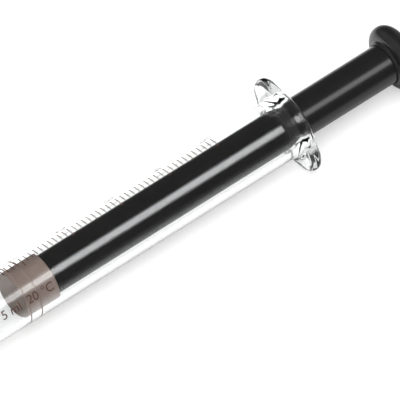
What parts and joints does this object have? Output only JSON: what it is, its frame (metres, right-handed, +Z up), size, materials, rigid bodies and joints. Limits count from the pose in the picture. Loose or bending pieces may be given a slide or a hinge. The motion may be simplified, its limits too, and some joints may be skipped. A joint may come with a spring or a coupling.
{
  "type": "gas-tight syringe",
  "caption": "Gas-tight glass laboratory syringe with a lobed finger flange, a Luer-lock end, a printed volume scale and a sliding plunger with a sealing tip and a round knob.",
  "frame": {"origin": "middle of the bounding box at the table, with the syringe lying on its front end and its knob and rolled until a flange lobe meets the table", "axes": "+X along the syringe towards the plunger knob, +Z up, +Y completes the right-handed frame"},
  "size_m": [0.125, 0.02, 0.0145],
  "materials": {
    "glass": "clear polished borosilicate glass",
    "ink": "fired brown ink",
    "white_ptfe": "satin white fluoropolymer",
    "nickel": "satin nickel plating on brass",
    "cement": "hardened epoxy",
    "tan_ptfe": "satin filled fluoropolymer",
    "elastomer": "moulded rubber",
    "steel": "turned stainless steel",
    "black_anodised": "black satin anodised"
  },
  "bodies": {
    "barrel": {"glass_barrel": "glass", "scale_marks": "ink", "luer_nozzle": "white_ptfe", "lock_collar": "nickel", "collar_cement": "cement"},
    "seal": {"tip_cap": "tan_ptfe", "tip_ring": "elastomer"},
    "plunger": {"tip_core": "steel", "plunger_rod": "black_anodised", "knob_stud": "steel", "plunger_knob": "black_anodised"}
  },
  "joints": [
    {"name": "plunger_slide", "type": "slide", "parent": "barrel", "child": "seal", "axis": [1, 0, 0], "range_m": [-0.0078, 0.0606]},
    {"name": "plunger_spin", "type": "hinge", "parent": "seal", "child": "plunger", "pos_m": [-0.02945, 0, 0.00725], "axis": [1, 0, 0], "continuous": true}
  ]
}
